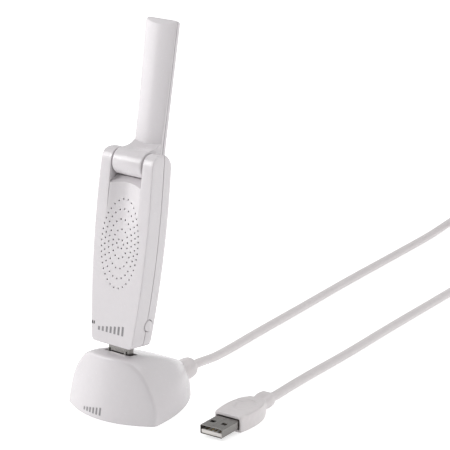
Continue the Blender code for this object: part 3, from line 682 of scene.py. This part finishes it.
def usb_plug(prefix, nodes, place, body, low, high):
    """Sleeve with its latch holes and seam, tongue and contacts; the tip points along -z."""
    sleeve = rounded_tube(prefix + "_sleeve", USB_HALF_WIDTH, USB_HALF_HEIGHT, low, high, USB_SKIN)
    cutters = []
    for x in LATCH_X:
        cutters.append(block("latch", (x - 1.25, -6, low + 4.7), (x + 1.25, 6, low + 7.0), 0.15, 1))
    cutters.append(block("fold", (-0.06, 1.5, low - 1), (0.06, 6, high + 1)))
    combine(sleeve, *cutters)
    pieces = [hold(sleeve, place, body, "nickel", "nickel", nodes + "shell")]
    tongue = block(prefix + "_tongue", (-5.55, -1.85, low + 0.25), (5.55, -0.1, high - 0.5), 0.12, 2)
    pockets = []
    for x in CONTACT_X:
        pockets.append(block("pocket", (x - 0.6, -0.4, low + 0.9), (x + 0.6, 1, low + 9.2)))
    combine(tongue, *pockets)
    pieces.append(hold(tongue, place, body, "insulator", "insulator", nodes + "tongue"))
    for i, x in enumerate(CONTACT_X):
        ends = (x - 0.5, -0.38, low + 1.0), (x + 0.5, -0.2, low + 9.0)
        contact = block(f"{prefix}_contact_{i + 1}", *ends, 0.06, 1)
        pieces.append(hold(contact, place, body, "gold", "gold", f"{nodes}contact_{i + 1}"))
    return pieces


# ---------------------------------------------------------------- antenna

TIP_FRONT = 63.1
TIP_SLOPE = 0.85
TIP_CORNER = 1.3
BLADE_FRONT = 6.6
BLADE_EDGE = 8.4
BLADE_SEAM = 9.2
BLADE_REAR = 11.5
NECK_HALF = 7.75
TIP_TOP = TIP_FRONT + TIP_SLOPE * (BLADE_SEAM - BLADE_FRONT)


def blade_half(z):
    """The blade's half width, which grows a little from its foot to its tip."""
    return 7.85 + 1.05 * max(0.0, z - 8.6) / 56.9


def crown(x, z, half):
    """The blade's front is an arc: its edges lie behind its middle."""
    return (BLADE_EDGE - BLADE_FRONT) * (0.6 + 0.4 * ease(z, 8.0, 28.0)) * (x / half) ** 2


def blade_front():
    """The blade's front shell, cut off at the tip by a plane that slopes up to the back."""
    rings = []
    levels = [2.0, 6.0, 9.0] + [12.0 + 4.0 * i for i in range(12)]
    levels += [TIP_FRONT - below for below in (2.4, 1.6, 1.0, 0.5, 0.2, 0.0)]
    for z in levels:
        tilt = TIP_SLOPE * ease(z, TIP_FRONT - 30, TIP_FRONT)
        half = blade_half(z) - corner_trim(TIP_FRONT - z + 0.03, TIP_CORNER)
        flat = ladder_ring((BLADE_FRONT, z), (BLADE_SEAM, z), half, 0.7, 0.1, crown)
        rings.append([(x, y, z + tilt * (y - BLADE_FRONT)) for x, y, z in flat])
    return loft("blade_front", rings)


def neck():
    """The wedge between the barrel and the blade's foot."""
    profile = [(-3.0, 4.4), (-1.0, 6.22), (0.8, 6.45), (2.6, 6.8), (4.2, 7.3), (5.6, 8.0), (7.2, 9.1)]
    profile += [(9.2, 10.5), (9.2, 1.4), (8.6, 0.5), (7.4, 0.05), (4.0, -0.6), (-1.0, 1.0)]
    return prism("neck", profile, -NECK_HALF, NECK_HALF)


def barrel():
    """The hinge's barrel, with rounded rims."""
    rounding = 0.6
    steps = 6
    core = 3.0
    rim = []
    for i in range(steps + 1):
        angle = math.pi / 2 * i / steps
        radius = BARREL_RADIUS - rounding * (1 - math.sin(angle))
        rim.append((radius, -BARREL_HALF + rounding * (1 - math.cos(angle))))
    profile = [(core, -BARREL_HALF)] + rim + [(r, -x) for r, x in reversed(rim)] + [(core, BARREL_HALF)]
    return turned("barrel", profile, "X", (0, 0, 0), 96)


def antenna_front():
    """Barrel, neck and blade in one shell, with a pocket for the radiator and a bore for the pins."""
    front = blade_front()
    combine(front, neck(), operation="UNION")
    combine(front, barrel(), operation="UNION")
    combine(front, block("pocket", (-6, 8.0, 12), (6, 14, 57)))
    combine(front, turned("bore", [(PIN_BORE, -20.0), (PIN_BORE, 20.0)], "X", (0, 0, 0), 32))
    hold(front, PIVOT, "antenna", "shell", "shell_white", "antenna_front_shell")


def antenna_back():
    """The flat back shell, rounded over at the tip, the foot and down its rear edges."""
    low = BLADE_SEAM + 0.4
    foot = 1.2
    corner = 2.6
    levels = [foot + corner * (1 - math.cos(math.pi / 2 * i / 6)) for i in range(7)]
    levels += [6.0 + 5.0 * i for i in range(11)]
    levels += [TIP_TOP - corner * (1 - math.sin(math.pi / 2 * i / 8)) for i in range(9)]
    rings = []
    for z in levels:
        half = blade_half(z) - corner_trim(z - foot, corner) - corner_trim(TIP_TOP - z, 1.6)
        fall = corner_trim(TIP_TOP - z, 1.3)
        rings.append(ladder_ring((low, z), (BLADE_REAR - fall, z - 0.2 * fall), half, 0.15, 0.55))
    back = loft("antenna_back", rings)
    hold(back, PIVOT, "antenna", "shell", "shell_white", "antenna_back_shell")


# ---------------------------------------------------------------- cradle

CRADLE_HALF = 26.5
CRADLE_FRONT_Y = -14.9
CRADLE_CORNER_Y = -4.5
CRADLE_REAR = 45.5
CRADLE_RIM = 0.3
CRADLE_HEIGHT = 29.2
CREASE_ROUND = 1.2
FRONT_BOW = 75.5
FRONT_SLOPE = 0.2
LEAD_Z = 5.45
COLLAR_END = 54.2
# The socket's mouth in the adapter's own frame, and where its two contact tabs stand.
SOCKET_MOUTH = -3.5
SOCKET_TAB_X = (-5.0, 5.0)
# Half of the front's outline, from the foot to the top.
ARCH = ((26.5, 0.0), (26.3, 4.5), (25.5, 9.5), (23.8, 14.7), (21.2, 19.6), (17.8, 24.0), (14.5, 27.0),
        (10.9, 28.75), (6.5, 29.2), (0.0, 29.25))


def arch_points(steps):
    """Half the front arch as shares of its half width and height, from the foot to the top."""
    fine = smooth_route([(x, 0, z) for x, z in ARCH], steps)
    return [(p.x / CRADLE_HALF, p.z / CRADLE_HEIGHT) for p in fine]


def cradle_half(y, inset=0.0):
    """The back's half width, which closes to nothing at the tail."""
    reach = max(0.0, (y - CRADLE_CORNER_Y) / (CRADLE_REAR - inset - CRADLE_CORNER_Y))
    return (CRADLE_HALF - inset) * max(0.0, 1 - reach ** 2.1) ** 0.65


def cradle_spine(y):
    """The height of the back's ridge."""
    fall = max(0.0, y + 4) / 49.5
    return CRADLE_HEIGHT - 18.6 * fall ** 1.45


def front_face(x, z, inset=0.0):
    """The y of the bowed and sloping front."""
    return CRADLE_FRONT_Y + inset + x * x / FRONT_BOW + z * FRONT_SLOPE


def cradle_skin(name, inset, lid, rim, rounding):
    """The cradle's form: a bowed face inside an arched crease, and a back that falls to the tail."""
    half_arch = arch_points(4)
    arch = half_arch + [(-x, z) for x, z in reversed(half_arch[:-1])]
    wide = CRADLE_HALF - inset
    tall = CRADLE_HEIGHT - lid

    def on_face(share_x, share_z, scale, back=0.0, trim=0.0):
        x = share_x * (wide - trim) * scale
        z = rim + share_z * (tall - trim - rim) * scale
        return (x, front_face(x, z, inset) + back, z)

    rings = []
    for scale in (0.04, 0.2, 0.4, 0.6, 0.8, 0.92):
        rings.append([on_face(x, z, scale, 0.0, rounding) for x, z in arch])
    crease_steps = 5 if rounding else 1
    for i in range(crease_steps):
        angle = math.pi / 2 * i / crease_steps
        trim = rounding * (1 - math.sin(angle))
        back = rounding * (1 - math.cos(angle))
        rings.append([on_face(x, z, 1.0, back, trim) for x, z in arch])
    steps = 26
    end = CRADLE_REAR - inset - 0.02
    for i in range(steps + 1):
        share = math.sin(math.pi / 2 * i / steps)
        ring = []
        for x, z in arch:
            start = front_face(x * wide, rim + z * (tall - rim), inset) + rounding
            y = start + (end - start) * share
            height = cradle_spine(y) - lid - rim
            ring.append((x * cradle_half(y, inset), y, rim + z * height))
        rings.append(ring)
    return loft(name, rings)


def rounded_slot(name, half_w, half_h, low, high):
    """A solid rounded rectangle along z, for cutting a slot."""
    outline = sleeve_outline(half_w, half_h, 0.8, 4)
    return loft(name, [[(x, y, z) for x, y in outline] for z in (low, high)])


def cradle():
    """The cradle's shell, with the slot and the way for the socket, and the hole for the strain relief."""
    housing = cradle_skin("cradle_shell", 0.0, 0.0, CRADLE_RIM, CREASE_ROUND)
    hollow = cradle_skin("cradle_inside", 2.2, 4.6, -1.0, 0.0)
    seat_in_mm = TO_METRES.inverted() @ SEAT
    slot = rounded_slot("slot", 7.7, 3.3, -4.3, 12.0)
    slot.data.transform(Matrix.Translation((0, 0.35, 0)))
    slot.data.transform(seat_in_mm)
    way = block("way", (-7.0, -3.3, -16), (7.0, 3.3, 0))
    way.data.transform(seat_in_mm)
    collar_way = turned("collar_way", [(5.5, COLLAR_END - 13.5), (5.5, 70.0)], "Y", (0, 0, LEAD_Z), 40)
    neck_way = turned("neck_way", [(4.3, 29.0), (4.3, 60.0)], "Y", (0, 0, LEAD_Z), 32)
    combine(housing, hollow, slot, way, collar_way, neck_way)
    hold(housing, WORLD, "cradle", "shell", "shell_white", "cradle_housing")


def socket_lip():
    """The receptacle's sleeve with its flared mouth and its tabs."""
    sleeve = rounded_tube("socket_sleeve", 6.65, 2.9, SOCKET_MOUTH - 13.5, SOCKET_MOUTH, 0.35)
    lip = rounded_tube("socket_flare", 7.4, 2.95, SOCKET_MOUTH - 0.45, SOCKET_MOUTH, 1.0, 1.4)
    combine(sleeve, lip, operation="UNION")
    half = 0.4
    for x in SOCKET_TAB_X:
        low_corner = (x - half, -2.95, SOCKET_MOUTH - 0.9)
        tab = block("socket_tab", low_corner, (x + half, -2.5, SOCKET_MOUTH + 2.4), 0.18, 2)
        combine(sleeve, tab, operation="UNION")
    hold(sleeve, SEAT, "cradle", "nickel", "nickel", "socket_shell")


def collar():
    """The strain relief: a bulb with a rounded end where the lead leaves, and a neck into the cradle."""
    profile = [(1.4, 0.0), (2.35, 0.0), (2.9, -0.12), (3.7, -0.5), (4.4, -1.2), (4.9, -2.2), (5.15, -3.4)]
    profile += [(5.2, -5.0), (5.2, -8.0), (5.1, -11.0), (4.9, -13.2)]
    profile += [(4.0, -13.2), (4.0, -21.6), (1.4, -21.6)]
    item = turned("lead_collar", [(r, COLLAR_END + h) for r, h in profile], "Y", (0, 0, LEAD_Z), 64)
    hold(item, WORLD, "cradle", "cord", "cord_white", "strain_relief")


# ---------------------------------------------------------------- lead and its plug

CORD_RADIUS = 2.25
COIL_RADIUS = 26.4
COIL_TURNS = 3
FAR_ROUTE = (
    (0.0, 54.5, 5.4),
    (-0.1, 60.5, 5.3),
    (-0.5, 67.0, 4.6),
    (-1.7, 75.0, 3.6),
    (-4.4, 91.0, 2.6),
    (-8.0, 119.0, 2.3),
    (-12.6, 165.0, 2.3),
    (-17.4, 211.0, 2.3),
    (-21.5, 258.0, 2.3),
    (-25.8, 305.0, 2.35),
    (-29.6, 335.0, 2.9),
    (-30.9, 344.8, 3.05),
)
NEAR_ROUTE = (
    (25.9, 344.8, 3.05),
    (26.1, 335.0, 2.9),
    (27.9, 310.0, 2.35),
    (31.9, 270.0, 2.3),
    (36.2, 232.0, 2.3),
    (41.2, 166.0, 2.3),
    (44.9, 123.0, 2.3),
    (47.2, 86.0, 2.35),
    (49.6, 66.5, 3.0),
    (51.9, 52.6, 3.75),
    (52.1, 47.4, 3.95),
)


def coil_turns():
    """Three and a half turns, two by two; each moves on a quarter of the bundle over its back half."""
    low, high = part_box("cord_coil")
    middle = (low + high) / 2 / MM
    slot_reach = CORD_RADIUS * math.sqrt(2)
    points = []
    per_half = 24
    for i in range(per_half * (2 * COIL_TURNS + 1) + 1):
        progress = i / per_half
        half_turns = int(progress)
        turns_done = (half_turns + 1) // 2
        on_back = half_turns % 2 == 0
        quarter = turns_done + (ease(progress - half_turns, 0, 1) if on_back else 0.0)
        slot_angle = math.radians(-45 + 90 * quarter)
        angle = math.pi - math.pi * progress
        radius = COIL_RADIUS + slot_reach * math.cos(slot_angle)
        points.append(Vector((
            middle.x + radius * math.cos(angle),
            middle.y + radius * math.sin(angle),
            middle.z + slot_reach * math.sin(slot_angle),
        )))
    return points


def lead():
    """The whole lead as one curve, from the strain relief through the coil to the plug."""
    per_span = 8
    points = smooth_route(FAR_ROUTE, per_span) + coil_turns() + smooth_route(NEAR_ROUTE, per_span)
    # The curve may dip between its points, so it is held on the desk.
    for at in points:
        at.z = max(at.z, CORD_RADIUS)
    curve = bpy.data.curves.new("lead", "CURVE")
    curve.dimensions = "3D"
    curve.bevel_depth = CORD_RADIUS * MM
    curve.bevel_resolution = 5
    curve.use_fill_caps = True
    spline = curve.splines.new("POLY")
    spline.points.add(len(points) - 1)
    for point, at in zip(spline.points, points):
        point.co = (*(at * MM), 1.0)
    spline.use_smooth = True
    item = bpy.data.objects.new("lead", curve)
    bpy.context.scene.collection.objects.link(item)
    curve.materials.append(LOOKS["cord"])
    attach(item, "cradle")
    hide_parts("cord_from_cradle", "cord_coil", "cord_to_plug")


def tie():
    """The band round the coil, open along x."""
    low, high = (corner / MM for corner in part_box("cord_tie"))
    thickness = 0.4
    inside = Vector((-1.0, thickness, thickness))
    band = block("tie_band", low, high, 0.5)
    combine(band, block("tie_hole", low + inside, high - inside, 0.4))
    return hold(band, WORLD, "cradle", "black", "chip", "cord_tie")


def grip_half(y):
    """The grip's half width along the plug."""
    route = ((7.2, 13.1), (7.5, 14.6), (8.0, 18.0), (8.3, 22.5), (8.1, 27.0), (7.3, 31.5), (6.0, 35.0),
             (4.8, 37.2), (4.3, 39.0))
    for (w0, y0), (w1, y1) in zip(route, route[1:]):
        if y <= y1:
            t = (y - y0) / (y1 - y0)
            return w0 + (w1 - w0) * t
    return route[-1][0]


def grip_ring(y, half, half_height, rounding, dent=0.0):
    """A ring across the plug's grip, dented on top by a shallow oval; its tail bulb sits higher."""
    middle = GRIP_HEIGHT / 2 + 0.6 * ease(y, 36.0, 41.0) * (1 - ease(y, 45.5, 47.6))
    ring = []
    for x, d in section(half, 2 * half_height, rounding, rounding, 40, 5, 5):
        z = middle - half_height + d
        on_top = d > 2 * half_height - 0.01
        if dent and on_top:
            oval = (x / 4.6) ** 2 + ((y - 27.0) / 6.4) ** 2
            z -= dent * (1 - ease(oval, 0.82, 1.04))
        ring.append((x, y, z))
    return ring


def grip():
    """The plug's moulded grip: a rounded front edge, a bulging body, and a waist and bulb at the tail."""
    rounding = 0.6
    front_steps = 3
    body_steps = 59
    half_height = GRIP_HEIGHT / 2
    rings = []
    for i in range(front_steps + 1):
        angle = math.pi / 2 * i / front_steps
        trim = rounding * (1 - math.sin(angle))
        y = GRIP_FRONT + rounding * (1 - math.cos(angle))
        rings.append(grip_ring(y, 7.25 - trim, half_height - trim, 0.9))
    for i in range(body_steps + 1):
        y = 14.2 + 23.0 * i / body_steps
        rings.append(grip_ring(y, grip_half(y), half_height - 0.35 * ease(y, 33, 38), 0.75, 0.5))
    neck = ((38.2, 4.3, 3.3), (39.0, 4.15, 3.2), (39.8, 4.2, 3.3), (40.8, 4.35, 3.45), (42.0, 4.5, 3.55),
            (43.8, 4.5, 3.6), (45.2, 4.3, 3.5), (46.3, 3.9, 3.2), (47.1, 3.35, 2.85), (47.5, 2.8, 2.55),
            (47.55, 2.35, 2.3))
    for y, half, tall in neck:
        rings.append(grip_ring(y, half, tall, min(half, tall) * 0.88))
    item = loft("lead_grip", rings)
    combine(item, block("sleeve_way", (-6.3, 10, 1.4), (6.3, 18.5, 6.5), 0.3))
    return hold(item, PLUG, "cradle", "cord", "cord_white", "plug_grip")


def lead_plug():
    """The plug's sleeve, tongue and contacts, turned to point out of the grip."""
    base = 1.7
    turn = Matrix.Rotation(math.pi, 4, "Z") @ Matrix.Rotation(math.pi / 2, 4, "X")
    place = PLUG @ Matrix.Translation((0, 0, base + USB_HALF_HEIGHT)) @ turn
    return usb_plug("lead_plug", "plug_", place, "cradle", 0.0, 17.7)


# ---------------------------------------------------------------- carried-over CAD nodes

CARRIED = {
    "shell": ("cradle_base",),
    "rubber": ("rubber_pad",),
    "board": ("main_board", "antenna_element", "socket_board"),
    "black": ("wifi_chip", "tact_switch", "antenna_feed"),
    "nickel": ("shield_can", "cable_clamp"),
    "steel": ("ballast_weight", "base_screw_left", "base_screw_right", "hinge_pin_left", "hinge_pin_right"),
    "insulator": ("hinge_washer_left", "hinge_washer_right", "socket_tongue"),
    "gold": tuple(f"socket_contact_{i}" for i in range(1, 5)),
}


def dress_carried():
    """Gives the CAD nodes that stay their materials."""
    for look, names in CARRIED.items():
        for name in names:
            for slot in frame["nodes"][name].material_slots:
                slot.material = LOOKS[look]


# ---------------------------------------------------------------- stage, light and camera

def seen_or_lit(tree, seen, lit):
    """One strength for what the eye sees directly, another for the light that it throws."""
    path = tree.nodes.new("ShaderNodeLightPath")
    strength = tree.nodes.new("ShaderNodeMix")
    strength.inputs["B"].default_value = seen
    tree.links.new(path.outputs["Is Camera Ray"], strength.inputs["Factor"])
    if isinstance(lit, float):
        strength.inputs["A"].default_value = lit
    else:
        tree.links.new(lit, strength.inputs["A"])
    return strength.outputs["Result"]


def room(tree):
    """The room's brightness by direction: dim on one side, bright on the others."""
    coords = tree.nodes.new("ShaderNodeTexCoord")
    towards = tree.nodes.new("ShaderNodeVectorMath")
    towards.operation = "DOT_PRODUCT"
    towards.inputs[1].default_value = (0.63, -0.72, 0.28)
    fall = tree.nodes.new("ShaderNodeMapRange")
    fall.interpolation_type = "SMOOTHSTEP"
    fall.inputs["From Min"].default_value = 0.1
    fall.inputs["From Max"].default_value = 0.95
    fall.inputs["To Min"].default_value = 0.62
    fall.inputs["To Max"].default_value = 0.12
    tree.links.new(coords.outputs["Generated"], towards.inputs[0])
    tree.links.new(towards.outputs["Value"], fall.inputs["Value"])
    return fall.outputs["Result"]


def stage():
    """A pale floor that glows a little, so that it reads as white."""
    bm = bmesh.new()
    bmesh.ops.create_grid(bm, x_segments=1, y_segments=1, size=6.0)
    floor = mesh_item("floor", bm)
    made, tree, shader = new_material("floor_look", (0.93, 0.93, 0.93), 0.6)
    tinted(tree, shader, noise(tree, 3.0), (0.845, 0.845, 0.845), (0.855, 0.855, 0.855))
    shader.inputs["Emission Color"].default_value = (1, 1, 1, 1)
    tree.links.new(seen_or_lit(tree, 0.6, 0.32), shader.inputs["Emission Strength"])
    floor.data.materials.append(made)


LIT_POINT = (0.0, 0.0, 0.08)


def area_light(name, from_point, size, power, colour=(1, 1, 1)):
    data = bpy.data.lights.new(name, "AREA")
    data.shape = "RECTANGLE"
    data.size = size[0]
    data.size_y = size[1]
    data.energy = power
    data.color = colour
    item = bpy.data.objects.new(name, data)
    bpy.context.scene.collection.objects.link(item)
    item.location = from_point
    aim = Vector(LIT_POINT) - Vector(from_point)
    item.rotation_euler = aim.to_track_quat("-Z", "Y").to_euler()


def surroundings():
    """White all round to the eye, and softer as light."""
    world = bpy.data.worlds.new("surroundings")
    bpy.context.scene.world = world
    world.use_nodes = True
    tree = world.node_tree
    back = tree.nodes["Background"]
    back.inputs["Color"].default_value = (1, 1, 1, 1)
    tree.links.new(seen_or_lit(tree, 1.1, room(tree)), back.inputs["Strength"])


def lights():
    """Large soft lights: the key on the left, a weaker fill on the right and two from above."""
    area_light("key_left", (-1.18, -0.6, 0.42), (1.2, 0.8), 5.6, (1.0, 0.985, 1.0))
    area_light("front_left", (-0.82, -0.85, 0.8), (0.6, 0.6), 5.0)
    area_light("fill_right", (1.36, 0.1, 0.3), (0.45, 0.8), 3.9)
    area_light("top", (0.0, -0.1, 1.4), (1.0, 1.0), 2.4)
    area_light("top_rear", (0.4, 0.75, 1.15), (0.7, 0.7), 2.0)


CAMERA_PLACE = (0.58083, -0.66705, 0.36661)
CAMERA_TILT = math.radians(72.604)
CAMERA_TURN = math.radians(37.867)


def camera():
    """The camera, to the right of the front and a little above."""
    data = bpy.data.cameras.new("camera")
    data.sensor_width = 36.0
    data.lens = 164.4
    data.clip_end = 50.0
    item = bpy.data.objects.new("camera", data)
    bpy.context.scene.collection.objects.link(item)
    item.location = CAMERA_PLACE
    item.rotation_euler = (CAMERA_TILT, 0.0, CAMERA_TURN)
    bpy.context.scene.camera = item


# ---------------------------------------------------------------- the scene

stage()
surroundings()
lights()
camera()
bpy.context.scene.view_settings.view_transform = "Standard"
cover("front_shell", True, "front_cover")
cover("rear_shell", False, "rear_cover")
lenses()
key()
bars_mark("body_mark", 7, -8.6, 7.2, 16.4, 4.4, front_skin, SEAT, "adapter")
bars_mark("cradle_mark", 6, -10.4, 2.2, 12.6, 3.6, front_face, WORLD, "cradle")
usb_plug("adapter_plug", "usb_", SEAT, "adapter", BODY_BOTTOM - 12.0, BODY_BOTTOM + 6.5)
antenna_front()
antenna_back()
cradle()
socket_lip()
collar()
on_lead = lead_plug()
on_lead.append(tie())
on_lead.append(grip())
lead()
dress_carried()
